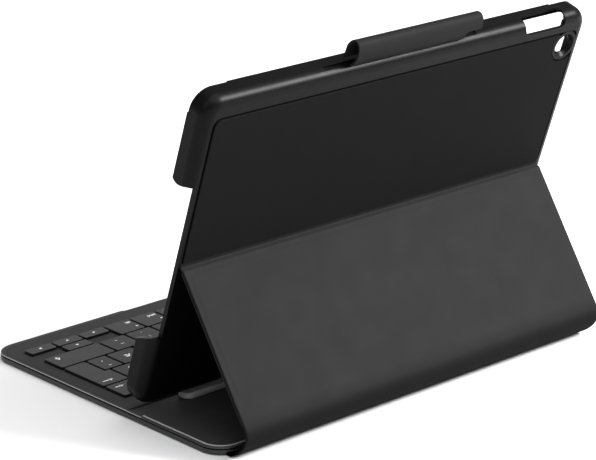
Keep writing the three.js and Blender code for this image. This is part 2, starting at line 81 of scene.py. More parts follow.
@dataclass(frozen=True)
class Finish:
    """A surface finish: a base colour with soft variation, gloss and a fine grain."""

    name: str
    colour: tuple[float, float, float]
    roughness: float
    grain: Grain = Grain.SPARK
    grain_size: float = 0.4
    grain_depth: float = 0.02
    tone_spread: float = 0.12
    gloss_spread: float = 0.06
    metallic: float = 0.0
    specular: float = 0.5
    sheen: float = 0.0
    coat: float = 0.0
    # Height in millimetres over which painted shade darkens the colour towards the table; none when 0.
    foot_shade: float = 0.0

    def material(self) -> bpy.types.Material:
        """Makes the finish's material, or finds the one already made.

        Returns:
            The material, with its nodes in place.
        """
        known = bpy.data.materials.get(self.name)
        if known is not None:
            return known
        made = bpy.data.materials.new(self.name)
        made.use_nodes = True
        made.diffuse_color = (*self.colour, 1.0)
        tree = made.node_tree
        shader = tree.nodes["Principled BSDF"]
        shader.inputs["Metallic"].default_value = self.metallic
        shader.inputs["Specular IOR Level"].default_value = self.specular
        shader.inputs["Sheen Weight"].default_value = self.sheen
        shader.inputs["Coat Weight"].default_value = self.coat
        place = tree.nodes.new("ShaderNodeTexCoord").outputs["Object"]
        self._tone(tree, shader, place)
        self._gloss(tree, shader, place)
        self._relief(tree, shader, place)
        return made

    def _noise(self, tree: bpy.types.NodeTree, place: bpy.types.NodeSocket, size: float,
               detail: float, stretch: tuple[float, float, float] = (1, 1, 1)) -> bpy.types.NodeSocket:
        """Adds a noise of a given feature size.

        Args:
            tree: The material's node tree.
            place: The coordinates that the noise reads.
            size: Feature size in millimetres.
            detail: Number of finer layers.
            stretch: Scale along each axis.

        Returns:
            The noise's value.
        """
        turn = tree.nodes.new("ShaderNodeMapping")
        turn.inputs["Scale"].default_value = stretch
        tree.links.new(place, turn.inputs["Vector"])
        noise = tree.nodes.new("ShaderNodeTexNoise")
        noise.inputs["Scale"].default_value = 1.0 / (size * MM)
        noise.inputs["Detail"].default_value = detail
        tree.links.new(turn.outputs["Vector"], noise.inputs["Vector"])
        return noise.outputs["Fac"]

    def _ramp(self, tree: bpy.types.NodeTree, value: bpy.types.NodeSocket, low: float,
              high: float) -> bpy.types.NodeSocket:
        """Maps the middle of a noise onto a range.

        Args:
            tree: The material's node tree.
            value: The noise's value.
            low: Result at the noise's low end.
            high: Result at its high end.

        Returns:
            The mapped value.
        """
        ramp = tree.nodes.new("ShaderNodeMapRange")
        ramp.inputs["From Min"].default_value = 0.3
        ramp.inputs["From Max"].default_value = 0.7
        ramp.inputs["To Min"].default_value = low
        ramp.inputs["To Max"].default_value = high
        tree.links.new(value, ramp.inputs["Value"])
        return ramp.outputs["Result"]

    def _tone(self, tree: bpy.types.NodeTree, shader: bpy.types.Node, place: bpy.types.NodeSocket) -> None:
        """Varies the colour softly over the surface and slightly in the grain.

        Args:
            tree: The material's node tree.
            shader: The shader that takes the colour.
            place: The coordinates that the pattern reads.
        """
        broad = self._noise(tree, place, 38.0, 2.0)
        fine = self._noise(tree, place, self.grain_size * 2.2, 3.0)
        both = tree.nodes.new("ShaderNodeMix")
        both.inputs["Factor"].default_value = 0.45
        tree.links.new(broad, both.inputs["A"])
        tree.links.new(fine, both.inputs["B"])
        ramp = tree.nodes.new("ShaderNodeValToRGB")
        ramp.color_ramp.elements[0].position = 0.34
        ramp.color_ramp.elements[1].position = 0.66
        dark = [c * (1.0 - self.tone_spread) for c in self.colour]
        light = [min(c * (1.0 + self.tone_spread), 1.0) for c in self.colour]
        ramp.color_ramp.elements[0].color = (*dark, 1.0)
        ramp.color_ramp.elements[1].color = (*light, 1.0)
        tree.links.new(both.outputs["Result"], ramp.inputs["Fac"])
        tree.links.new(ramp.outputs["Color"], shader.inputs["Base Color"])
        # Painted shade towards the table, where the strip curls under.
        if self.foot_shade:
            self._paint_foot_shade(tree, shader, ramp.outputs["Color"], place)

    def _paint_foot_shade(self, tree: bpy.types.NodeTree, shader: bpy.types.Node, colour: bpy.types.NodeSocket,
                     place: bpy.types.NodeSocket) -> None:
        """Paints shade: darkens the colour and dulls the gloss towards the table, where the strip curls under
        into shade.

        Args:
            tree: The material's node tree.
            shader: The shader that takes the colour.
            colour: The colour.
            place: The coordinates that the height is read from.
        """
        apart = tree.nodes.new("ShaderNodeSeparateXYZ")
        tree.links.new(place, apart.inputs["Vector"])
        share = tree.nodes.new("ShaderNodeMapRange")
        share.inputs["From Max"].default_value = self.foot_shade * MM
        share.inputs["To Min"].default_value = 0.0
        tree.links.new(apart.outputs["Z"], share.inputs["Value"])
        scaled = tree.nodes.new("ShaderNodeVectorMath")
        scaled.operation = "SCALE"
        tree.links.new(colour, scaled.inputs["Vector"])
        tree.links.new(share.outputs["Result"], scaled.inputs["Scale"])
        tree.links.new(scaled.outputs["Vector"], shader.inputs["Base Color"])
        dulled = tree.nodes.new("ShaderNodeMath")
        dulled.operation = "MULTIPLY"
        dulled.inputs[1].default_value = self.specular
        tree.links.new(share.outputs["Result"], dulled.inputs[0])
        tree.links.new(dulled.outputs["Value"], shader.inputs["Specular IOR Level"])

    def _gloss(self, tree: bpy.types.NodeTree, shader: bpy.types.Node, place: bpy.types.NodeSocket) -> None:
        """Varies the roughness, as handling polishes a surface unevenly.

        Args:
            tree: The material's node tree.
            shader: The shader that takes the roughness.
            place: The coordinates that the pattern reads.
        """
        patch = self._noise(tree, place, 14.0, 4.0)
        low, high = self.roughness - self.gloss_spread, self.roughness + self.gloss_spread
        rough = self._ramp(tree, patch, low, high)
        tree.links.new(rough, shader.inputs["Roughness"])

    def _relief(self, tree: bpy.types.NodeTree, shader: bpy.types.Node, place: bpy.types.NodeSocket) -> None:
        """Presses the grain into the surface.

        Args:
            tree: The material's node tree.
            shader: The shader that takes the normal.
            place: The coordinates that the grain reads.
        """
        if self.grain is Grain.HIDE:
            cells = tree.nodes.new("ShaderNodeTexVoronoi")
            cells.feature = "SMOOTH_F1"
            cells.inputs["Scale"].default_value = 1.0 / (self.grain_size * MM)
            cells.inputs["Smoothness"].default_value = 0.6
            tree.links.new(place, cells.inputs["Vector"])
            height = cells.outputs["Distance"]
        elif self.grain is Grain.BRUSHED:
            height = self._noise(tree, place, self.grain_size, 2.0, (0.04, 1.0, 1.0))
        elif self.grain is Grain.FELT:
            height = self._noise(tree, place, self.grain_size, 6.0, (1.0, 0.6, 1.0))
        elif self.grain is Grain.SATIN:
            height = self._noise(tree, place, self.grain_size, 1.0)
        else:
            height = self._noise(tree, place, self.grain_size, 4.0)
        bump = tree.nodes.new("ShaderNodeBump")
        bump.inputs["Strength"].default_value = 0.6
        bump.inputs["Distance"].default_value = self.grain_depth * MM
        tree.links.new(height, bump.inputs["Height"])
        tree.links.new(bump.outputs["Normal"], shader.inputs["Normal"])


SHELL = Finish("satin_shell", (0.0018, 0.0018, 0.0019), 0.36, Grain.SATIN, 0.5, 0.006, 0.1, 0.03,
               specular=0.08)
DECK = Finish("deck_paint", (0.03, 0.03, 0.031), 0.45, Grain.SPARK, 0.3, 0.008, 0.1, 0.04, specular=0.3)
# A painted highlight: the rims' top edges painted light where they catch the light.
EDGE_HIGHLIGHT = Finish("painted_edge_highlight", (0.34, 0.34, 0.345), 0.3, Grain.SATIN, 0.4, 0.003, 0.06, 0.03, specular=0.6)
PLATE = Finish("plate_paint", (0.029, 0.029, 0.0295), 0.6, Grain.SPARK, 0.25, 0.012, 0.06, specular=0.2)
# Painted light: the sunken plate's paint is lightened to make up for the shade it lies in.
REAR_PAINTED_LIGHT = Finish("sunken_paint_lightened", (0.036, 0.036, 0.0365), 0.5, Grain.SPARK, 0.3, 0.01, 0.1, specular=0.25)
KEY = Finish("key_cap", (0.05, 0.05, 0.0505), 0.5, Grain.SPARK, 0.2, 0.008, 0.06, specular=0.3)
# Painted shade on the caps' sides: the same plastic as the tops, painted near black.
KEY_SIDE_SHADE = Finish("key_side_shade", (0.006, 0.006, 0.0062), 0.6, Grain.SPARK, 0.2, 0.008, 0.06, specular=0.15)
# Painted shade: a dark band standing for the shadow in a groove on the deck's side.
GROOVE_SHADE = Finish("seam_shade", (0.002, 0.002, 0.002), 0.8, Grain.SATIN, 0.3, 0.004, 0.1, specular=0.05)
LEGEND = Finish("legend_paint", (0.8, 0.8, 0.8), 0.5, Grain.SATIN, 0.3, 0.004, 0.04)
SKIN = Finish("cover_skin", (0.0066, 0.0066, 0.0068), 0.72, Grain.HIDE, 0.42, 0.02, 0.03, 0.02, specular=0.12)
# The spine's skin, with painted shade that darkens it towards the table.
SPINE_FOOT_SHADE = Finish("spine_skin_foot_shade", (0.0066, 0.0066, 0.0068), 0.72, Grain.HIDE, 0.42, 0.02, 0.03, 0.02,
               specular=0.12, foot_shade=22.0)
# The inlaid panel's skin: the same hide as the support panel, painted darker as shade.
INLAID_SKIN_SHADED = Finish("inlaid_skin_painted_shade", (0.0044, 0.0044, 0.0046), 0.76, Grain.HIDE, 0.42, 0.02, 0.04, 0.02,
                    specular=0.05)
INNER_SKIN = Finish("cover_inside", (0.009, 0.009, 0.0094), 0.85, Grain.FELT, 0.35, 0.05, 0.2, specular=0.2)
LINING = Finish("tray_felt", (0.010, 0.010, 0.011), 0.9, Grain.FELT, 0.4, 0.07, 0.2, specular=0.2, sheen=0.08)
# Painted light: the bar's rubber is painted light grey to stand in for the light that its top catches.
BAR_PAINTED_LIGHT = Finish("bar_rubber_painted_light", (0.44, 0.44, 0.443), 0.42, Grain.SPARK, 0.35, 0.01, 0.1)
BOARD = Finish("stiff_board", (0.17, 0.14, 0.11), 0.9, Grain.FELT, 0.8, 0.05, 0.2)
STEEL = Finish("plated_steel", (0.5, 0.51, 0.53), 0.32, Grain.BRUSHED, 0.3, 0.004, 0.06, metallic=1.0)
MAGNET = Finish("nickel_magnet", (0.56, 0.55, 0.53), 0.22, Grain.SATIN, 0.6, 0.004, 0.05, metallic=1.0)
CIRCUIT = Finish("circuit_green", (0.02, 0.09, 0.05), 0.42, Grain.SATIN, 1.2, 0.02, 0.25)
CELL = Finish("cell_foil", (0.42, 0.43, 0.45), 0.38, Grain.BRUSHED, 0.8, 0.02, 0.1, metallic=0.7)
MEMBRANE = Finish("switch_film", (0.6, 0.61, 0.63), 0.4, Grain.SATIN, 1.5, 0.01, 0.08)
LENS = Finish("light_lens", (0.72, 0.74, 0.76), 0.2, Grain.SATIN, 0.5, 0.003, 0.04)


# ------------------------------------------------------------------ shaping
def edges_between(bm: BMesh, test: Callable[[Vector], bool]) -> list[BMEdge]:
    """Finds the edges with both ends where a test holds.

    Args:
        bm: The mesh being shaped.
        test: Says whether a point counts.

    Returns:
        The edges.
    """
    return [edge for edge in bm.edges if all(test(vert.co) for vert in edge.verts)]


def rim_edges(bm: BMesh, height: float) -> list[BMEdge]:
    """Finds the outline of a level face.

    Args:
        bm: The mesh being shaped.
        height: Z of the face.

    Returns:
        The edges where the face meets a wall.
    """
    level = edges_between(bm, lambda co: abs(co.z - height) < 1e-4)
    return [edge for edge in level if any(abs(face.normal.z) < 0.9 for face in edge.link_faces)]


def round_edges(bm: BMesh, edges: Sequence[BMEdge], radius: float, segments: int = 3) -> None:
    """Rounds edges to a radius.

    Args:
        bm: The mesh being shaped.
        edges: The edges to round.
        radius: Radius in millimetres.
        segments: Facets over the rounding.
    """
    bmesh.ops.bevel(bm, geom=list(edges), offset=radius, offset_type="OFFSET", segments=segments,
                    profile=0.5, affect="EDGES", material=-1)


def plate(x_span: Point, y_span: Point, height: float, corner: float = 0.0, segments: int = 8) -> BMesh:
    """Starts a mesh with one level face, its corners rounded.

    Args:
        x_span: Lowest and highest X.
        y_span: Lowest and highest Y.
        height: Z of the face.
        corner: Corner radius.
        segments: Facets on each corner.

    Returns:
        The new mesh.
    """
    bm = bmesh.new()
    bmesh.ops.create_grid(bm, x_segments=1, y_segments=1, size=0.5)
    bmesh.ops.scale(bm, vec=(x_span[1] - x_span[0], y_span[1] - y_span[0], 1.0), verts=bm.verts)
    middle = ((x_span[0] + x_span[1]) / 2, (y_span[0] + y_span[1]) / 2, height)
    bmesh.ops.translate(bm, vec=middle, verts=bm.verts)
    if corner > 0:
        bmesh.ops.bevel(bm, geom=bm.verts[:], offset=corner, offset_type="OFFSET", segments=segments,
                        profile=0.5, affect="VERTICES", material=-1)
    return bm


def raised(bm: BMesh, faces: Sequence[BMFace], offset: Vector) -> list[BMFace]:
    """Extrudes faces by an offset.

    Args:
        bm: The mesh being shaped.
        faces: The faces to extrude.
        offset: How far they go.

    Returns:
        The faces in their new place.
    """
    made = bmesh.ops.extrude_face_region(bm, geom=list(faces))["geom"]
    bmesh.ops.translate(bm, vec=offset, verts=[item for item in made if isinstance(item, BMVert)])
    bm.normal_update()
    return [item for item in made if isinstance(item, BMFace)]


def slab(x_span: Point, y_span: Point, z_span: Point, corner: float = 0.0, segments: int = 8,
         top: float = 0.0, bottom: float = 0.0, steps: int = 3) -> BMesh:
    """Makes a closed slab with rounded corners and, if asked, rounded top and bottom edges.

    Args:
        x_span: Lowest and highest X.
        y_span: Lowest and highest Y.
        z_span: Lowest and highest Z.
        corner: Corner radius in plan.
        segments: Facets on each corner.
        top: Radius of the top edges.
        bottom: Radius of the bottom edges.
        steps: Facets over each rounded edge.

    Returns:
        The new mesh.
    """
    bm = plate(x_span, y_span, z_span[0], corner, segments)
    raised(bm, bm.faces[:], Vector((0, 0, z_span[1] - z_span[0])))
    bmesh.ops.recalc_face_normals(bm, faces=bm.faces[:])
    bm.normal_update()
    if top > 0:
        round_edges(bm, rim_edges(bm, z_span[1]), top, steps)
    if bottom > 0:
        round_edges(bm, rim_edges(bm, z_span[0]), bottom, steps)
    return bm


def drum(centre: Point, z_span: Point, radii: Point, segments: int = 40) -> BMesh:
    """Makes a round solid, straight or tapered.

    Args:
        centre: X and Y of the axis.
        z_span: Lowest and highest Z.
        radii: Radius at the lower and at the upper end.
        segments: Facets round it.

    Returns:
        The new mesh.
    """
    bm = bmesh.new()
    lift = Matrix.Translation((centre[0], centre[1], (z_span[0] + z_span[1]) / 2))
    bmesh.ops.create_cone(bm, cap_ends=True, segments=segments, radius1=radii[0], radius2=radii[1],
                          depth=z_span[1] - z_span[0], matrix=lift)
    return bm


def wire(points: Sequence[Vector]) -> BMesh:
    """Draws a chain of edges by extruding a vertex from point to point.

    Args:
        points: The chain's points.

    Returns:
        The new mesh.
    """
    bm = bmesh.new()
    tip = bmesh.ops.create_vert(bm, co=points[0])["vert"][0]
    for last, point in zip(points, points[1:]):
        made = bmesh.ops.extrude_vert_indiv(bm, verts=[tip])
        tip = made["verts"][0]
        bmesh.ops.translate(bm, vec=point - last, verts=[tip])
    return bm


def swept(points: Sequence[Vector], stations: Sequence[float]) -> BMesh:
    """Sweeps a chain of edges along X.

    Args:
        points: The chain's points, at any X.
        stations: X of each row of edges, in order.

    Returns:
        A sheet one face thick.
    """
    bm = wire([Vector((stations[0], point.y, point.z)) for point in points])
    front = bm.edges[:]
    for last, station in zip(stations, stations[1:]):
        made = bmesh.ops.extrude_edge_only(bm, edges=front)["geom"]
        bmesh.ops.translate(bm, vec=(station - last, 0, 0),
                            verts=[item for item in made if isinstance(item, BMVert)])
        front = [item for item in made if isinstance(item, BMEdge)
                 and all(abs(vert.co.x - station) < 1e-5 for vert in item.verts)]
    return bm


def thickened(bm: BMesh, thickness: float, outward: Vector) -> None:
    """Gives a sheet a wall, on the side away from its outer face.

    Args:
        bm: The sheet.
        thickness: Wall in millimetres.
        outward: A direction that the sheet's first face looks to.
    """
    bmesh.ops.recalc_face_normals(bm, faces=bm.faces[:])
    bm.normal_update()
    bm.faces.ensure_lookup_table()
    if bm.faces[0].normal.dot(outward) < 0:
        bmesh.ops.reverse_faces(bm, faces=bm.faces[:])
        bm.normal_update()
    bmesh.ops.solidify(bm, geom=bm.faces[:], thickness=thickness)
    bmesh.ops.recalc_face_normals(bm, faces=bm.faces[:])
    bm.normal_update()


def smooth_run(points: Sequence[Point], steps: int) -> list[Vector]:
    """Runs a smooth curve through points of the Y-Z plane.

    Args:
        points: The points, as (Y, Z).
        steps: Points on each stretch.

    Returns:
        The curve's points.
    """
    knots = [Vector((0, *point)) for point in points]
    run: list[Vector] = []
    for index in range(len(knots) - 1):
        before = knots[max(index - 1, 0)]
        after = knots[min(index + 2, len(knots) - 1)]
        start, end = knots[index], knots[index + 1]
        leave = start + (end - before) / 6
        arrive = end - (after - start) / 6
        stretch = interpolate_bezier(start, leave, arrive, end, steps + 1)
        run.extend(stretch if index == 0 else stretch[1:])
    return run


def finished(name: str, bm: BMesh, finish: Finish, place: Matrix = FLAT,
             sharp: float = 32.0) -> bpy.types.Object:
    """Turns a shaped mesh into a placed, smooth-shaded object.

    Args:
        name: The piece's name.
        bm: The mesh, in millimetres. It is freed.
        finish: The piece's finish.
        place: Where the piece's own axes lie in the row frame.
        sharp: Edges that turn by more than this many degrees stay crisp.

    Returns:
        The object, at the origin with its place in its mesh.
    """
    bmesh.ops.transform(bm, matrix=Matrix.Scale(MM, 4) @ place, verts=bm.verts)
    shade(bm, sharp)
    mesh = bpy.data.meshes.new(name)
    bm.to_mesh(mesh)
    bm.free()
    mesh.materials.append(finish.material())
    made = bpy.data.objects.new(name, mesh)
    bpy.context.scene.collection.objects.link(made)
    return made


def shade(bm: BMesh, sharp: float) -> None:
    """Shades all faces smooth and marks the crisp edges.

    Args:
        bm: The mesh.
        sharp: Edges that turn by more than this many degrees stay crisp.
    """
    limit = math.radians(sharp)
    for face in bm.faces:
        face.smooth = True
    for edge in bm.edges:
        edge.smooth = len(edge.link_faces) == 2 and edge.calc_face_angle(0.0) < limit


def evened(piece: bpy.types.Object) -> None:
    """Weights the normals by face size, so that flat faces stay flat beside rounded edges."""
    modifier = piece.modifiers.new("even_normals", "WEIGHTED_NORMAL")
    modifier.keep_sharp = True


def cut(piece: bpy.types.Object, cutters: Iterable[BMesh], place: Matrix, sharp: float = 32.0) -> None:
    """Cuts solids out of a piece.

    Args:
        piece: The piece, already placed.
        cutters: The solids, in the piece's own axes. They are freed.
        place: Where those axes lie in the row frame.
        sharp: Edges that turn by more than this many degrees stay crisp.
    """
    tools = [finished(f"cutter_{index}", cutter, DECK, place) for index, cutter in enumerate(cutters)]
    for tool in tools:
        modifier = piece.modifiers.new(tool.name, "BOOLEAN")
        modifier.operation = "DIFFERENCE"
        modifier.solver = "EXACT"
        modifier.object = tool
    graph = bpy.context.evaluated_depsgraph_get()
    mesh = bpy.data.meshes.new_from_object(piece.evaluated_get(graph))
    piece.modifiers.clear()
    bm = bmesh.new()
    bm.from_mesh(mesh)
    bmesh.ops.remove_doubles(bm, verts=bm.verts, dist=0.002 * MM)
    bmesh.ops.dissolve_degenerate(bm, dist=0.002 * MM, edges=bm.edges)
    bm.normal_update()
    shade(bm, sharp)
    bm.to_mesh(mesh)
    bm.free()
    mesh.materials.clear()
    for material in piece.data.materials:
        mesh.materials.append(material)
    for polygon in mesh.polygons:
        polygon.material_index = 0
    piece.data = mesh
    for tool in tools:
        bpy.data.objects.remove(tool)


def split_at(piece: bpy.types.Object, *planes: tuple[Sequence[float], Sequence[float]]) -> None:
    """Adds a line of edges to a piece along each plane.

    Args:
        piece: The piece, its mesh in metres.
        planes: A point in millimetres and a normal for each plane.
    """
    bm = bmesh.new()
    bm.from_mesh(piece.data)
    for point, normal in planes:
        whole = bm.verts[:] + bm.edges[:] + bm.faces[:]
        bmesh.ops.bisect_plane(bm, geom=whole, dist=1e-7, plane_co=Vector(point) * MM, plane_no=normal)
    bm.to_mesh(piece.data)
    bm.free()


def painted(piece: bpy.types.Object, finish: Finish, test: Callable[[Vector, Vector], bool]) -> None:
    """Gives a second finish to the faces that pass a test.

    Args:
        piece: The piece.
        finish: The finish.
        test: Takes a face's middle in millimetres and its normal.
    """
    piece.data.materials.append(finish.material())
    slot = len(piece.data.materials) - 1
    for face in piece.data.polygons:
        if test(face.center / MM, face.normal):
            face.material_index = slot


def handed_over(piece: bpy.types.Object, body: str, slot: str, *nodes: str) -> None:
    """Sets what a piece moves with and hides the CAD nodes that it stands for.

    Args:
        piece: The piece.
        body: The body that it rides on.
        slot: The record's material slot; not used.
        nodes: CAD nodes that it replaces.
    """
    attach(piece, body)
    if nodes:
        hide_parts(*nodes)
    LOG.info("%s rides on %s", piece.name, body)


# ------------------------------------------------------------------ deck
@dataclass
class Deck:
    """The keyboard deck: base cover with its rims, key plate, sunken rear plate and docking bar."""

    half: float = 124.0
    front: float = -89.75
    rear: float = 86.6
    corner: float = 12.0
    rim_top: float = 3.8
    rear_rim_top: float = 4.4
    rear_rim_start: float = 30.2
    floor: float = 0.9
    side_wall: float = 1.7
    front_wall: float = 3.2
    # Heights of the band of painted shade round the deck's side.
    groove_shade_band: Point = (2.5, 3.2)
    bar_half: float = 94.5

    def build(self) -> None:
        """Builds the deck's own pieces and dresses those carried over."""
        self._cover()
        self._bar()
        lap = slab((-self.half + 2.3, self.half - 2.3), (18.1, 18.88), (3.2, 3.83))
        handed_over(finished("key_plate_lap", lap, PLATE), "deck", "key_surface")
        # The sunken rear plate is dressed with paint lightened as painted light.
        for node, finish in (("key_plate", PLATE), ("rear_plate", REAR_PAINTED_LIGHT)):
            dress(node, finish)

    def _cover(self) -> None:
        """Moulds the base cover: a low tray with a fine lip, and a second rim round the docking area."""
        body = slab((-self.half, self.half), (self.front, self.rear), (0.0, self.rim_top), self.corner,
                    16, top=0.3, bottom=0.7, steps=4)
        cover = finished("base_cover_body", body, DECK)
        inner = (self.half - self.side_wall)
        hollow = slab((-inner, inner), (self.front + self.front_wall, self.rear - self.side_wall),
                      (self.floor, 9.0), 10.3, 14)
        notch = slab((-40.5, 40.5), (self.front - 4, self.front + 1.3), (1.6, 9.0), 1.2, 4)
        port = slab((-self.half - 3, -inner + 1), (9.6, 18.4), (1.2, 3.2))
        cut(cover, [hollow, notch, port], FLAT)
        start = self.rear_rim_start
        levels = [((0, 0, height), (0, 0, 1)) for height in self.groove_shade_band]
        split_at(cover, ((0, start, 0), (0, 1, 0)), *levels)
        # Painted highlight along the front rim's top edge.
        painted(cover, EDGE_HIGHLIGHT, lambda at, n: at.z > self.rim_top - 0.3 and 0.12 < n.z < 0.97
                and at.y < start and self._outside(at))
        # A dark band of painted shade round the deck's side, where a groove's shadow would fall.
        painted(cover, GROOVE_SHADE, lambda at, n: self.groove_shade_band[0] < at.z < self.groove_shade_band[1] and self._outside(at))
        evened(cover)
        handed_over(cover, "deck", "deck_cover", "base_cover")
        rim = slab((-self.half + 0.15, self.half - 0.15), (-20.0, self.rear - 0.15), (3.0, self.rear_rim_top),
                   self.corner, 16)
        round_edges(rim, rim_edges(rim, self.rear_rim_top), 1.35, 6)
        ring = finished("rear_rim", rim, DECK)
        clear = slab((-inner - 0.02, inner + 0.02), (-40.0, self.rear - self.side_wall + 0.02),
                     (1.0, 9.0), 10.3, 14)
        ahead = slab((-130.0, 130.0), (-60.0, self.rear_rim_start), (1.0, 9.0))
        cut(ring, [clear, ahead], FLAT)
        # Painted highlight along the rear rim's crest.
        painted(ring, EDGE_HIGHLIGHT, lambda at, n: at.z > self.rear_rim_top - 0.2 and n.z > 0.4)
        evened(ring)
        handed_over(ring, "deck", "deck_cover")

    def _outside(self, at: Vector) -> bool:
        """Tells whether a point is on the deck's outer face."""
        return abs(at.x) > self.half - 0.9 or at.y < self.front + 0.9 or self._in_corner(at)

    def _in_corner(self, at: Vector) -> bool:
        """Tells whether a point is on one of the outer corner arcs.

        Args:
            at: The point, in millimetres.

        Returns:
            Whether it lies in a corner, near the outer face.
        """
        across = abs(at.x) - (self.half - self.corner)
        along = max(at.y - (self.rear - self.corner), self.front + self.corner - at.y)
        return across > 0 and along > 0 and math.hypot(across, along) > self.corner - 0.9

    def _bar(self) -> None:
        """Moulds the low bar that the tray's foot stands on."""
        bar = slab((-self.bar_half, self.bar_half), (18.9, 28.6), (3.7, 6.8), 4.8, 10, top=1.0, steps=4)
        high = [vert for vert in bar.verts if vert.co.z > 5.0]
        for vert in high:
            vert.co.z -= max(0.0, vert.co.y - 20.0) * 0.075
        # The bar takes the lightened finish, as painted light.
        piece = finished("docking_bar_body", bar, BAR_PAINTED_LIGHT)
        pockets = [slab((side * 48 - 41, side * 48 + 41), (20.7, 26.3), (3.0, 5.7)) for side in (-1, 1)]
        cut(piece, pockets, FLAT)
        evened(piece)
        handed_over(piece, "deck", "docking_bar", "docking_bar")


def dress(node: str, finish: Finish) -> None:
    """Gives a carried-over CAD node its finish.

    Args:
        node: The node's name.
        finish: The finish.
    """
    target = frame["nodes"][node]
    for index in range(len(target.material_slots)):
        target.material_slots[index].link = "OBJECT"
        target.material_slots[index].material = finish.material()
    LOG.info("%s is dressed as %s", node, finish.name)


# ------------------------------------------------------------------ keyboard
class Place(Enum):
    """Where a legend stands on its cap: its side, and its height as part of the half depth."""

    MIDDLE = (0, 0.0)
    UPPER = (0, 0.45)
    LOWER = (0, -0.42)
    LOW_LEFT = (-1, -0.42)
    HIGH_LEFT = (-1, 0.45)
    LOW_RIGHT = (1, -0.42)
    HIGH_RIGHT = (1, 0.45)


@dataclass(frozen=True)
class Mark:
    """One printed mark: characters, or a small arrow turned to a heading, with or without a tail."""

    text: str
    place: Place = Place.MIDDLE
    size: float = 4.2
    arrow: float | None = None
    tail: float = 0.0


@dataclass(frozen=True)
class Key:
    """A key of a row: its name, its width in key units, and what is printed on it."""

    name: str
    units: float = 1.0
    marks: tuple[Mark, ...] = ()
    half: str = ""


def letter(name: str, text: str) -> Key:
    """A key with one character in its middle."""
    return Key(name, 1.0, (Mark(text),))


def pair(name: str, low: str, high: str, units: float = 1.0) -> Key:
    """A key with two characters, one above the other."""
    return Key(name, units, (Mark(low, Place.LOWER, 3.6), Mark(high, Place.UPPER, 3.6)))


FRONT_ROW = (
    Key("right", 1.0, (Mark("", Place.MIDDLE, 2.2, 0.0),), "lower"),
    Key("down", 1.0, (Mark("", Place.MIDDLE, 2.2, 270.0),), "lower"),
    Key("up", 0.0, (Mark("", Place.MIDDLE, 2.2, 90.0),), "upper"),
    Key("left", 1.0, (Mark("", Place.MIDDLE, 2.2, 180.0),), "lower"),
    Key("alt_right", 1.0, (Mark("alt", Place.LOW_LEFT, 3.0), Mark("+", Place.HIGH_LEFT, 3.0))),
    Key("command_right", 1.0, (Mark("cmd", Place.LOW_LEFT, 3.0), Mark("o", Place.HIGH_LEFT, 3.0))),
    Key("space", 4.75),
    Key("command_left", 1.0, (Mark("cmd", Place.LOW_RIGHT, 3.0), Mark("o", Place.HIGH_RIGHT, 3.0))),
    Key("alt_left", 1.0, (Mark("alt", Place.LOW_RIGHT, 3.0), Mark("+", Place.HIGH_RIGHT, 3.0))),
    Key("control", 1.0, (Mark("ctrl", Place.LOW_RIGHT, 3.0),)),
    Key("fn", 1.0, (Mark("fn", Place.LOW_LEFT, 3.0),)),
)
SHIFT_ROW = (
    Key("shift_right", 2.06, (Mark("", Place.LOW_RIGHT, 3.6, 90.0, 2.2),)),
    pair("minus", "-", "_"), pair("period", ".", ":"), pair("comma", ",", ";"),
    letter("m", "M"), letter("n", "N"), letter("b", "B"), letter("v", "V"), letter("c", "C"),
    letter("x", "X"), letter("z", "Z"),
    Key("shift_left", 1.69, (Mark("shift", Place.LOW_LEFT, 3.0),)),
)
HOME_ROW = (
    Key("", 0.83), pair("hash", "'", "*", 0.74), letter("ae", "Æ"), letter("oe", "Ø"),
    letter("l", "L"), letter("k", "K"), letter("j", "J"), letter("h", "H"), letter("g", "G"),
    letter("f", "F"), letter("d", "D"), letter("s", "S"), letter("a", "A"),
    Key("caps_lock", 1.18, (Mark("caps", Place.LOW_LEFT, 3.0),)),
)
TOP_ROW = (
    Key("", 1.0), pair("plus", "+", "?"), letter("ring_a", "Å"), letter("p", "P"), letter("o", "O"),
    letter("i", "I"), letter("u", "U"), letter("y", "Y"), letter("t", "T"), letter("r", "R"),
    letter("e", "E"), letter("w", "W"), letter("q", "Q"),
    Key("tab", 0.75, (Mark("tab", Place.LOW_LEFT, 2.8),)),
)
NUMBER_ROW = (
    Key("backspace", 1.0, (Mark("", Place.LOW_RIGHT, 2.6, 180.0, 3.6),)),
    pair("accent", "´", "`"), pair("equals", "=", "#"), pair("zero", "0", "="),
    pair("nine", "9", ")"), pair("eight", "8", "("), pair("seven", "7", "/"), pair("six", "6", "&"),
    pair("five", "5", "%"), pair("four", "4", "$"), pair("three", "3", "£"), pair("two", "2", '"'),
    pair("one", "1", "!"), pair("section", "<", ">", 0.75),
)


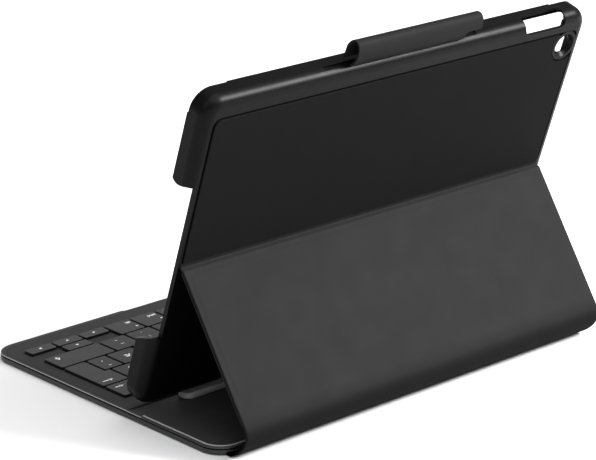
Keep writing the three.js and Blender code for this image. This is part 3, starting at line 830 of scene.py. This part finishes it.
@dataclass
class Keyboard:
    """The keys, each cap riding on the body of its node."""

    unit: float = 16.75
    pitch: float = 16.45
    gap: float = 1.3
    right: float = 115.2
    front: float = -75.4
    top: float = 5.3
    bottom: float = 2.9
    corner: float = 1.1
    edge: float = 0.35
    margin: float = 1.5
    rows: tuple[tuple[Key, ...], ...] = (FRONT_ROW, SHIFT_ROW, HOME_ROW, TOP_ROW, NUMBER_ROW)
    row_names: tuple[str, ...] = ("front", "shift", "home", "top", "number")

    def build(self) -> None:
        """Builds every cap with its legend."""
        nodes = frame["nodes"]
        for index, row in enumerate(self.rows):
            block = f"keys_{self.row_names[index]}_row_left"
            first_of_block = True
            for key, x_span, y_span in self._cells(index, row):
                own = f"key_{key.name}"
                cap = self._cap(key, x_span, y_span)
                if own in nodes:
                    handed_over(cap, own, "key", own)
                else:
                    handed_over(cap, block, "key", *([block] if first_of_block else []))
                    first_of_block = False
        handed_over(self._return_cap(), "key_return", "key", "key_return")

    def _cells(self, index: int, row: Sequence[Key]) -> Iterable[tuple[Key, Point, Point]]:
        """Lays out one row from the typist's right.

        Args:
            index: The row's number from the front.
            row: Its keys.

        Yields:
            Each key with its X and Y span.
        """
        edge = self.right
        low = self.front + index * self.pitch
        for key in row:
            far = edge - key.units * self.unit
            x_span, y_span = (far, edge), (low, low + self.pitch)
            if key.half == "lower":
                y_span = (low, low + self.pitch / 2)
            if key.half == "upper":
                x_span = (edge, edge + self.unit)
                y_span = (low + self.pitch / 2, low + self.pitch)
            if key.name:
                yield key, x_span, y_span
            edge = far

    def _cap(self, key: Key, x_span: Point, y_span: Point) -> bpy.types.Object:
        """Moulds a cap and prints its legend.

        Args:
            key: The key.
            x_span: Its cell along X.
            y_span: Its cell along Y.

        Returns:
            The cap.
        """
        half_gap = self.gap / 2
        across = (x_span[0] + half_gap, x_span[1] - half_gap)
        along = (y_span[0] + half_gap, y_span[1] - half_gap)
        bm = slab(across, along, (self.bottom, self.top), self.corner, 5, top=self.edge, steps=3)
        cap = finished(f"cap_{key.name}", bm, KEY)
        # The cap's sides are painted dark as shade.
        painted(cap, KEY_SIDE_SHADE, lambda at, n: abs(n.z) < 0.6)
        self._print(cap, key.marks, across, along)
        evened(cap)
        return cap

    def _return_cap(self) -> bpy.types.Object:
        """Moulds the two-row return cap: a narrow lower part and a wider upper one.

        Returns:
            The cap.
        """
        half_gap = self.gap / 2
        low = self.front + 2 * self.pitch + half_gap
        step = self.front + 3 * self.pitch + half_gap
        high = self.front + 4 * self.pitch - half_gap
        right = self.right - half_gap
        narrow = self.right - 0.83 * self.unit + half_gap
        wide = self.right - self.unit + half_gap
        bm = plate((narrow, right), (low, step), self.bottom)
        lifted = bmesh.ops.extrude_edge_only(
            bm, edges=edges_between(bm, lambda co: abs(co.y - step) < 1e-4))["geom"]
        bmesh.ops.translate(bm, vec=(0, high - step, 0), verts=[g for g in lifted if isinstance(g, BMVert)])
        side = bmesh.ops.extrude_edge_only(
            bm, edges=edges_between(bm, lambda co: co.y > step - 1e-4 and abs(co.x - narrow) < 1e-4))["geom"]
        bmesh.ops.translate(bm, vec=(wide - narrow, 0, 0), verts=[g for g in side if isinstance(g, BMVert)])
        bmesh.ops.dissolve_faces(bm, faces=bm.faces[:])
        corners = [vert for vert in bm.verts if abs(vert.co.x - right) < 1e-4 or abs(vert.co.y - step) > 1e-4
                   or abs(vert.co.x - wide) < 1e-4]
        straight = [vert for vert in bm.verts
                    if abs(vert.co.x - right) < 1e-4 and abs(vert.co.y - step) < 1e-4]
        bmesh.ops.dissolve_verts(bm, verts=straight)
        bmesh.ops.bevel(bm, geom=[vert for vert in corners if vert.is_valid], offset=self.corner,
                        offset_type="OFFSET", segments=5, profile=0.5, affect="VERTICES", material=-1)
        raised(bm, bm.faces[:], Vector((0, 0, self.top - self.bottom)))
        bmesh.ops.recalc_face_normals(bm, faces=bm.faces[:])
        bm.normal_update()
        round_edges(bm, rim_edges(bm, self.top), self.edge, 3)
        cap = finished("cap_return", bm, KEY)
        # The cap's sides are painted dark as shade.
        painted(cap, KEY_SIDE_SHADE, lambda at, n: abs(n.z) < 0.6)
        self._print(cap, (Mark("", Place.HIGH_RIGHT, 2.6, 180.0, 5.0),), (wide, right), (step, high))
        evened(cap)
        return cap

    def _print(self, cap: bpy.types.Object, marks: Sequence[Mark], across: Point, along: Point) -> None:
        """Prints marks on a cap, as a thin layer of paint.

        Args:
            cap: The cap.
            marks: What is printed.
            across: The cap's X span.
            along: Its Y span.
        """
        if not marks:
            return
        cap.data.materials.append(LEGEND.material())
        ink = len(cap.data.materials) - 1
        bm = bmesh.new()
        bm.from_mesh(cap.data)
        middle = Vector(((across[0] + across[1]) / 2, (along[0] + along[1]) / 2, self.top))
        reach = Vector(((across[1] - across[0]) / 2, (along[1] - along[0]) / 2, 0.0))
        for mark in marks:
            paint = self._arrow(mark) if mark.arrow is not None else self._text(mark)
            side, height = mark.place.value
            inset = self.margin if mark.arrow is None else self.margin + mark.size / 2 + mark.tail
            spot = middle + Vector((side * (reach.x - inset), height * reach.y, 0.0))
            paint.transform(Matrix.Scale(MM, 4) @ Matrix.Translation(spot))
            known = len(bm.faces)
            bm.from_mesh(paint)
            bm.faces.ensure_lookup_table()
            for face in bm.faces[known:]:
                face.material_index = ink
                face.smooth = False
            bpy.data.meshes.remove(paint)
        bm.to_mesh(cap.data)
        bm.free()

    def _text(self, mark: Mark) -> bpy.types.Mesh:
        """Sets a mark's characters in the plain built-in face.

        Args:
            mark: The mark.

        Returns:
            A thin mesh centred on the origin, in millimetres.
        """
        curve = bpy.data.curves.new("legend", "FONT")
        curve.body = mark.text
        curve.size = mark.size
        curve.align_x = {-1: "LEFT", 0: "CENTER", 1: "RIGHT"}[mark.place.value[0]]
        curve.align_y = "CENTER"
        curve.offset = 0.09
        curve.resolution_u = 2
        curve.extrude = 0.02
        holder = bpy.data.objects.new("legend", curve)
        mesh = bpy.data.meshes.new_from_object(holder)
        bpy.data.objects.remove(holder)
        bpy.data.curves.remove(curve)
        bm = bmesh.new()
        bm.from_mesh(mesh)
        bmesh.ops.remove_doubles(bm, verts=bm.verts, dist=0.004)
        bmesh.ops.dissolve_degenerate(bm, dist=0.004, edges=bm.edges)
        bmesh.ops.recalc_face_normals(bm, faces=bm.faces)
        bm.to_mesh(mesh)
        bm.free()
        return mesh

    def _arrow(self, mark: Mark) -> bpy.types.Mesh:
        """Cuts a small solid arrowhead.

        Args:
            mark: The mark, with its heading in degrees.

        Returns:
            A thin mesh centred on the origin, in millimetres.
        """
        bm = bmesh.new()
        turn = Matrix.Rotation(math.radians(mark.arrow - 90.0), 4, "Z")
        bmesh.ops.create_cone(bm, cap_ends=True, segments=3, radius1=mark.size * 0.5,
                              radius2=mark.size * 0.5, depth=0.04, matrix=turn)
        if mark.tail:
            shaft = Matrix.Translation((0, -mark.tail / 2, 0)) @ Matrix.Diagonal((0.7, mark.tail, 0.04, 1.0))
            bmesh.ops.create_cube(bm, size=1.0, matrix=turn @ shaft)
        mesh = bpy.data.meshes.new("arrow")
        bm.to_mesh(mesh)
        bm.free()
        return mesh


# ------------------------------------------------------------------ folding cover
@dataclass
class FoldingCover:
    """The cover behind the tray: the spine, the support panel and the panel inlaid in the tray's back."""

    half: float = 118.3
    lower_axis: Point = (97.24, 17.06)
    fold_v: float = 81.03
    fold_proud: float = 0.9
    outer: float = 1.4
    thickness: float = 2.0
    spine_thickness: float = 1.4
    relief: float = 1.0
    panel_top: float = 161.7
    border: float = 3.4
    emboss: float = 0.32
    groove: float = 1.1
    camera: Point = (-111.0, 153.5)
    bite: float = 8.8

    def __post_init__(self) -> None:
        """Works out where the fold and the panel lie."""
        fold = TRAY_PLACE @ Vector((0.0, self.fold_v, -self.fold_proud))
        low = Vector((0.0, *self.lower_axis))
        self.fold = Vector((0.0, fold.y, fold.z))
        self.run = (low - self.fold).normalized()
        self.out = Vector((0.0, -self.run.z, self.run.y))
        self.length = (low - self.fold).length

    def at(self, along: float, out: float) -> Vector:
        """A point of the support panel, along it from the fold and off its middle."""
        return self.fold + self.run * along + self.out * out

    def build(self) -> None:
        """Builds the spine, the support panel and the inlaid panel."""
        self._spine()
        self._support()
        self._inlaid_panel()
        dress("panel_board", BOARD)

    def _stations(self) -> list[float]:
        """X of the rows of edges across the cover, closer at the borders."""
        near = self.half - self.border
        half = [near - 0.5, near, self.half - 1.2, self.half]
        return [-x for x in reversed(half)] + half

    def _spine(self) -> None:
        """Bends the spine strip from the deck's edge up to the support panel, in two pieces."""
        end = self.at(self.length + self.relief, self.outer)
        knots = (Vector((0, 87.6, 0.0)), Vector((0, 97.2, 4.0)), Vector((0, 102.2, 11.4)), end)
        bend = interpolate_bezier(*knots, 25)
        root = [Vector((0, 84.0, 0.02)), Vector((0, 85.5, 0.02)), Vector((0, 86.8, 0.02))]
        lower = swept([*root, *bend[:13]], self._stations())
        thickened(lower, self.spine_thickness, Vector((0, 0, -1)))
        self._soften(lower, 0.5)
        foot = finished("spine_lower", lower, SPINE_FOOT_SHADE, sharp=50.0)
        evened(foot)
        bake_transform(foot)
        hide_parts("spine_strip")
        crease = [self.at(self.length + offset, self.outer)
                  for offset in (0.5, 0.0, -0.5, -1.0, -1.6, -2.4, -4.0, -8.0)]
        upper = swept([*bend[12:], *crease], self._stations())
        thickened(upper, self.spine_thickness, Vector((0, 1, 0)))
        self._soften(upper, 0.5)
        top = finished("spine_upper", upper, SPINE_FOOT_SHADE, sharp=50.0)
        evened(top)
        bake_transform(top)

    def _soften(self, bm: BMesh, radius: float) -> None:
        """Rounds the two side edges of a thick strip.

        Args:
            bm: The strip.
            radius: Radius in millimetres.
        """
        sides = [edge for edge in bm.edges
                 if all(abs(abs(vert.co.x) - self.half) < 1e-3 for vert in edge.verts)
                 and any(abs(face.normal.x) > 0.9 for face in edge.link_faces)
                 and any(abs(face.normal.x) < 0.5 for face in edge.link_faces)]
        round_edges(bm, sides, radius, 3)

    def _support(self) -> None:
        """Builds the support panel's skins, with the stiffener's outline and the fold at its top."""
        low = self.length - 8.0
        field_end = self.length - 15.0
        fold_line = [TRAY_PLACE @ Vector((0, self.fold_v + offset, -0.42)) for offset in (2.4, 1.6, 1.0)]
        valley = [self.at(0.25, 0.75), self.at(0.9, self.outer - 0.1), self.at(1.6, self.outer),
                  self.at(2.6, self.outer)]
        face = [self.at(along, self.outer) for along in
                (4.0, 4.6, 20.0, 40.0, field_end - 0.6, field_end, low)]
        bm = swept([*fold_line, *valley, *face], self._stations())
        inside = self.half - self.border + 0.2
        raised_verts = [vert for vert in bm.verts if abs(vert.co.x) < inside - 0.4
                        and 4.3 < (vert.co - self.fold).dot(self.run) < field_end - 0.3]
        bmesh.ops.translate(bm, vec=self.out * self.emboss, verts=raised_verts)
        thickened(bm, self.outer - 0.45, self.out)
        self._soften(bm, 0.45)
        skin = finished("support_skin", bm, SKIN, sharp=50.0)
        evened(skin)
        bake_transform(skin)
        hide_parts("panel_outer_skin")
        under = [self.at(along, -0.1) for along in (1.4, 20.0, 50.0, self.length - 1.4)]
        inner = swept(under, self._stations())
        thickened(inner, 0.5, self.out)
        back = finished("support_inner_skin", inner, INNER_SKIN, sharp=50.0)
        handed_over(back, "support_panel", "lining", "panel_inner_skin")

    def _inlaid_panel(self) -> None:
        """Builds the skin inlaid in the tray's back, with a bite for the camera hole."""
        edge = self.half - self.groove
        low = self.fold_v + 1.0
        # The lower corners lie beyond the fold until the band below it is cut away, so they stay square.
        bm = plate((-edge, edge), (low - 10.0, self.panel_top - self.groove), -0.8, 4.0, 10)
        whole = bm.verts[:] + bm.edges[:] + bm.faces[:]
        bmesh.ops.bisect_plane(bm, geom=whole, dist=1e-4, plane_co=(0, low, 0), plane_no=(0, -1, 0),
                               clear_outer=True)
        raised(bm, bm.faces[:], Vector((0, 0, 1.2)))
        bmesh.ops.recalc_face_normals(bm, faces=bm.faces[:])
        bm.normal_update()
        outline = [e for e in rim_edges(bm, 0.4) if max(vert.co.y for vert in e.verts) > low + 0.01]
        round_edges(bm, outline, 0.4, 3)
        flip = Matrix.Scale(-1.0, 4, (0, 0, 1))
        bmesh.ops.transform(bm, matrix=flip, verts=bm.verts)
        bmesh.ops.reverse_faces(bm, faces=bm.faces[:])
        # The inlaid skin is painted darker than the support panel, as shade.
        panel = finished("back_panel_skin", bm, INLAID_SKIN_SHADED, TRAY_PLACE)
        bite = drum(self.camera, (-3.0, 3.0), (self.bite, self.bite), 48)
        cut(panel, [bite], TRAY_PLACE)
        evened(panel)
        handed_over(panel, "tray", "upper_skin", "back_panel")


# ------------------------------------------------------------------ tray
@dataclass
class Tray:
    """The rigid tray. Its own axes run across it, up its back from the foot, and in towards the tablet."""

    half: float = 124.0
    height: float = 172.0
    depth: float = 12.1
    edge_radius: float = 6.0
    corner: float = 10.0
    back: float = 2.6
    pocket_half: float = 120.4
    pocket_low: float = 1.25
    pocket_top: float = 9.6
    overhang: float = 1.2
    tab_overhang: float = 3.5
    corner_reach: float = 12.0
    home_end: Point = (41.2, 125.4)
    camera: Point = (-111.0, 153.5)
    island: float = 8.0
    edge_cut: float = 4.6
    slot: Point = (-106.8, -78.8)
    slot_low: float = 165.4
    power_notch: Point = (133.0, 152.0)
    middle_lip: float = 74.0
    bed_edge: float = 118.3

    def build(self) -> None:
        """Builds the shell and dresses the pieces in it."""
        shell = finished("tray_shell_body", self._blank(), SHELL, TRAY_PLACE)
        cut(shell, self._openings(), TRAY_PLACE, sharp=28.0)
        evened(shell)
        handed_over(shell, "tray", "tray", "tray_shell")
        dress("tray_lining", LINING)

    def _blank(self) -> BMesh:
        """Makes the closed blank: a rounded slab, its back edges full round.

        Returns:
            The blank.
        """
        return slab((-self.half, self.half), (0.0, self.height), (0.0, self.depth), self.corner, 18,
                    top=0.35, bottom=self.edge_radius, steps=12)

    def _openings(self) -> list[BMesh]:
        """Makes the solids that are cut out of the blank.

        Returns:
            The solids, in the tray's axes.
        """
        high = self.height - self.pocket_low
        inner = self.pocket_half
        over = self.overhang
        solids = [
            slab((-inner, inner), (self.pocket_low, high), (self.back, self.pocket_top), 8.0, 12, bottom=0.6),
            slab((-inner + over, inner - over), (self.pocket_low + over, high - self.tab_overhang),
                 (self.pocket_top - 0.1, self.depth + 2), 9.0, 12),
        ]
        # Tabs of deeper lip stay on both sides of this middle part of the mouth's top.
        solids.append(slab((-self.middle_lip, self.middle_lip), (140.0, high - over),
                           (self.pocket_top - 0.25, self.depth + 2.5), 2.0, 8))
        for side in (-1, 1):
            x_span = (104.0, self.half + 2) if side > 0 else (-self.half - 2, -104.0)
            for y_span in ((-3.0, self.corner_reach), (self.height - self.corner_reach, self.height + 3)):
                solids.append(slab(x_span, y_span, (11.2, self.depth + 2)))
        solids.append(self._home_end())
        low, far = self.home_end
        solids.append(slab((self.half - self.edge_cut, self.half + 4), (low - 0.07, far + 0.07),
                           (-2.0, self.back + 0.13)))
        solids.append(self._volume_slot())
        solids.append(slab((-107.1, -78.5), (163.9, high), (1.4, self.back + 0.1), 1.5, 4))
        solids.append(slab((-self.half - 3, -118.2), self.power_notch, (8.5, self.depth + 3)))
        solids.append(self._headphone_hole())
        solids.append(drum(self.camera, (-0.7, 1.9), (6.9, self.edge_radius - 1.2), 56))
        solids.append(drum(self.camera, (-2.0, 5.0), (4.8, 4.8), 56))
        solids.append(self._bed())
        solids.append(slab((-46.0, 52.0), (self.height - 0.8, self.height + 3), (-3.0, 5.6), 0.7, 3))
        for side in (-1, 1):
            solids.append(slab((side * 52 - 30.3, side * 52 + 30.3), (5.7, 14.3), (1.1, self.back + 0.2)))
        return solids

    def _home_end(self) -> BMesh:
        """The opening in the wall at the home-button end, with a rounded foot at each stub.

        Returns:
            The solid to cut.
        """
        low, high = self.home_end
        knee = self.depth - 2.6
        bm = plate(self.home_end, (self.back - 0.06, self.depth + 3), 0.0)
        whole = bm.verts[:] + bm.edges[:] + bm.faces[:]
        bmesh.ops.bisect_plane(bm, geom=whole, dist=1e-4, plane_co=(0, knee, 0), plane_no=(0, 1, 0))
        bmesh.ops.dissolve_faces(bm, faces=bm.faces[:])
        for bound, lean, flare in ((low, -4.2, -4.0), (high, -1.8, 4.6)):
            end = [vert for vert in bm.verts if abs(vert.co.x - bound) < 1e-3 and vert.co.y > knee - 0.1]
            bmesh.ops.translate(bm, vec=(lean, 0, 0), verts=end)
            bmesh.ops.translate(bm, vec=(flare, 0, 0), verts=[vert for vert in end if vert.co.y > knee + 0.1])
        bends = [vert for vert in bm.verts if abs(vert.co.y - knee) < 1e-3]
        bmesh.ops.bevel(bm, geom=bends, offset=2.4, offset_type="OFFSET", segments=5, profile=0.5,
                        affect="VERTICES", material=-1)
        raised(bm, bm.faces[:], Vector((0, 0, self.half - self.pocket_half + 6)))
        bmesh.ops.recalc_face_normals(bm, faces=bm.faces[:])
        turn = Matrix(((0, 0, 1, self.pocket_half - 3), (1, 0, 0, 0), (0, 1, 0, 0), (0, 0, 0, 1)))
        bmesh.ops.transform(bm, matrix=turn, verts=bm.verts)
        return bm

    def _volume_slot(self) -> BMesh:
        """The slot over the volume keys, open through the top edge and the back.

        Returns:
            The solid to cut.
        """
        return slab(self.slot, (self.slot_low, self.height + 4), (-4.0, 7.4), 3.0, 8, top=2.4, steps=6)

    def _headphone_hole(self) -> BMesh:
        """The headphone hole in the far wall.

        Returns:
            The solid to cut.
        """
        bm = slab((13.0, 21.5), (2.7, 8.7), (0.0, 8.0), 2.9, 8)
        turn = Matrix(((0, 0, 1, -self.half - 2), (1, 0, 0, 0), (0, 1, 0, 0), (0, 0, 0, 1)))
        bmesh.ops.transform(bm, matrix=turn, verts=bm.verts)
        return bm

    def _bed(self) -> BMesh:
        """The shallow bed of the inlaid panel, with an island round the camera hole.

        Returns:
            The solid to cut.
        """
        blank = slab((-self.bed_edge, self.bed_edge), (82.03, 161.7), (-2.0, 1.0), 4.5, 10)
        bed = finished("bed", blank, SHELL)
        cut(bed, [drum(self.camera, (-3.0, 3.0), (self.island, self.island), 48)], FLAT)
        bm = bmesh.new()
        bm.from_mesh(bed.data)
        bmesh.ops.scale(bm, vec=(1 / MM, 1 / MM, 1 / MM), verts=bm.verts)
        bpy.data.meshes.remove(bed.data)
        return bm


# ------------------------------------------------------------------ closing flap
@dataclass
class ClosingFlap:
    """The flap on the tray's top edge, curled over towards the tablet with a magnet in its end."""

    left: float = -43.0
    right: float = 37.5
    root_left: float = -34.0
    root_top: float = 177.0
    thickness: float = 0.9
    section: tuple[Point, ...] = (
        (171.6, 2.8), (174.8, 0.7), (179.4, -0.3), (183.0, 1.0), (183.2, 4.0), (180.2, 6.2),
        (176.6, 6.7), (173.2, 6.8),
    )

    def build(self) -> None:
        """Builds the flap, its root narrower at the typist's left."""
        bm = swept(smooth_run(self.section, 7), [self.left, self.root_left, 0.0, self.right])
        thickened(bm, self.thickness, Vector((0, 0, -1)))
        flap = finished("closing_flap_body", bm, SKIN, TRAY_PLACE, sharp=50.0)
        step = slab((self.left - 6, self.root_left), (160.0, self.root_top), (-3.0, 3.4), 1.6, 6)
        cut(flap, [step], TRAY_PLACE, sharp=50.0)
        painted(flap, INNER_SKIN, self._inside)
        edge = flap.modifiers.new("soft_edge", "BEVEL")
        edge.width = 0.22 * MM
        edge.segments = 2
        edge.limit_method = "ANGLE"
        edge.angle_limit = math.radians(50.0)
        evened(flap)
        handed_over(flap, "flap", "flap_skin", "closing_flap")

    def _inside(self, at: Vector, normal: Vector) -> bool:
        """Tells whether a face is inside the curl."""
        curl = TRAY_PLACE @ Vector((0.0, 178.0, 3.2))
        return abs(normal.x) < 0.5 and (Vector((0.0, at.y, at.z)) - curl).dot(normal) < 0.0


# ------------------------------------------------------------------ inner pieces
@dataclass(frozen=True)
class Innards:
    """The pieces inside the deck, the tray's foot and the flap, which keep their CAD shape."""

    finishes: tuple[tuple[str, Finish], ...] = (
        ("backing_plate", STEEL), ("membrane_sheet", MEMBRANE), ("circuit_board", CIRCUIT),
        ("battery", CELL), ("latch_plate", STEEL), ("charge_port", STEEL), ("status_light", LENS),
        ("dock_magnet_left", MAGNET), ("dock_magnet_right", MAGNET), ("tray_magnet_left", MAGNET),
        ("tray_magnet_right", MAGNET), ("flap_magnet", MAGNET),
    )

    def build(self) -> None:
        """Dresses each inner piece."""
        for node, finish in self.finishes:
            dress(node, finish)


# ------------------------------------------------------------------ studio
@dataclass
class Studio:
    """The pale floor, the soft lights and the camera."""

    eye: tuple[float, float, float] = (0.829657, 0.928989, 0.477984)
    azimuth: float = 138.128
    elevation: float = 18.524
    roll: float = -0.008
    lens: float = 158.40

    def build(self) -> None:
        """Sets up the studio."""
        scene = bpy.context.scene
        scene.view_settings.view_transform = "Standard"
        self._camera(scene)
        self._floor(scene)
        self._air(scene)
        self._sun((-0.1, 0.42, 0.9), 3.0, 70.0)
        self._light("rim_light", (-1.25, 1.35, 1.2), (0.0, 0.05, 0.1), 0.8, 0.6, 100.0)
        self._light("side_light", (1.7, 0.5, 1.3), (0.0, 0.0, 0.08), 0.35, 1.1, 6.0)

    def _camera(self, scene: bpy.types.Scene) -> None:
        """Stands the camera behind the case, to the typist's right.

        Args:
            scene: The scene.
        """
        a, e = math.radians(self.azimuth), math.radians(self.elevation)
        back = Vector((math.sin(a) * math.cos(e), -math.cos(a) * math.cos(e), math.sin(e)))
        right = (-back).cross(Vector((0, 0, 1))).normalized()
        up = right.cross(-back).normalized()
        c, s = math.cos(self.roll), math.sin(self.roll)
        x_axis, y_axis = right * c + up * s, up * c - right * s
        data = bpy.data.cameras.new("camera")
        data.lens = self.lens
        data.sensor_width = 36.0
        data.clip_start = 0.05
        data.clip_end = 60.0
        camera = bpy.data.objects.new("camera", data)
        turn = Matrix((x_axis, y_axis, back)).transposed().to_4x4()
        camera.matrix_world = Matrix.Translation(self.eye) @ turn
        scene.collection.objects.link(camera)
        scene.camera = camera

    def _floor(self, scene: bpy.types.Scene) -> None:
        """Lays the floor just under the deck.

        Args:
            scene: The scene.
        """
        bm = bmesh.new()
        bmesh.ops.create_grid(bm, x_segments=1, y_segments=1, size=12.0)
        bmesh.ops.translate(bm, vec=(0, 0, -0.0003), verts=bm.verts)
        mesh = bpy.data.meshes.new("floor")
        bm.to_mesh(mesh)
        bm.free()
        mesh.materials.append(Finish("floor_paint", (0.74, 0.74, 0.74), 0.8, Grain.SATIN, 4.0, 0.001, 0.004,
                                     0.01, specular=0.05).material())
        floor = bpy.data.objects.new("floor", mesh)
        scene.collection.objects.link(floor)

    def _air(self, scene: bpy.types.Scene) -> None:
        """Fills the room with even light.

        Args:
            scene: The scene.
        """
        world = bpy.data.worlds.new("studio_air")
        world.use_nodes = True
        world.node_tree.nodes["Background"].inputs["Color"].default_value = (1.0, 1.0, 1.0, 1.0)
        world.node_tree.nodes["Background"].inputs["Strength"].default_value = 0.35
        scene.world = world

    def _sun(self, towards: tuple[float, float, float], strength: float, spread: float) -> None:
        """Hangs the wide, even overhead light.

        Args:
            towards: The direction that it comes from.
            strength: Its strength in watts per square metre.
            spread: Its width as seen from the case, in degrees.
        """
        data = bpy.data.lights.new("overhead_light", "SUN")
        data.energy = strength
        data.angle = math.radians(spread)
        lamp = bpy.data.objects.new("overhead_light", data)
        lamp.matrix_world = Vector(towards).to_track_quat("Z", "Y").to_matrix().to_4x4()
        bpy.context.scene.collection.objects.link(lamp)

    def _light(self, name: str, at: tuple[float, float, float], aim: tuple[float, float, float],
               width: float, height: float, power: float) -> None:
        """Hangs a soft area light.

        Args:
            name: The light's name.
            at: Where it hangs.
            aim: The point that it faces.
            width: Its width.
            height: Its height.
            power: Its power in watts.
        """
        data = bpy.data.lights.new(name, "AREA")
        data.shape = "RECTANGLE"
        data.size = width
        data.size_y = height
        data.energy = power
        lamp = bpy.data.objects.new(name, data)
        direction = Vector(aim) - Vector(at)
        lamp.matrix_world = Matrix.Translation(at) @ direction.to_track_quat("-Z", "Y").to_matrix().to_4x4()
        bpy.context.scene.collection.objects.link(lamp)


def main() -> None:
    """Builds the case, sub-assembly by sub-assembly."""
    logging.basicConfig(level=logging.INFO, format="%(message)s")
    Studio().build()
    Deck().build()
    Keyboard().build()
    FoldingCover().build()
    Tray().build()
    ClosingFlap().build()
    Innards().build()


if __name__ == "__main__":
    main()
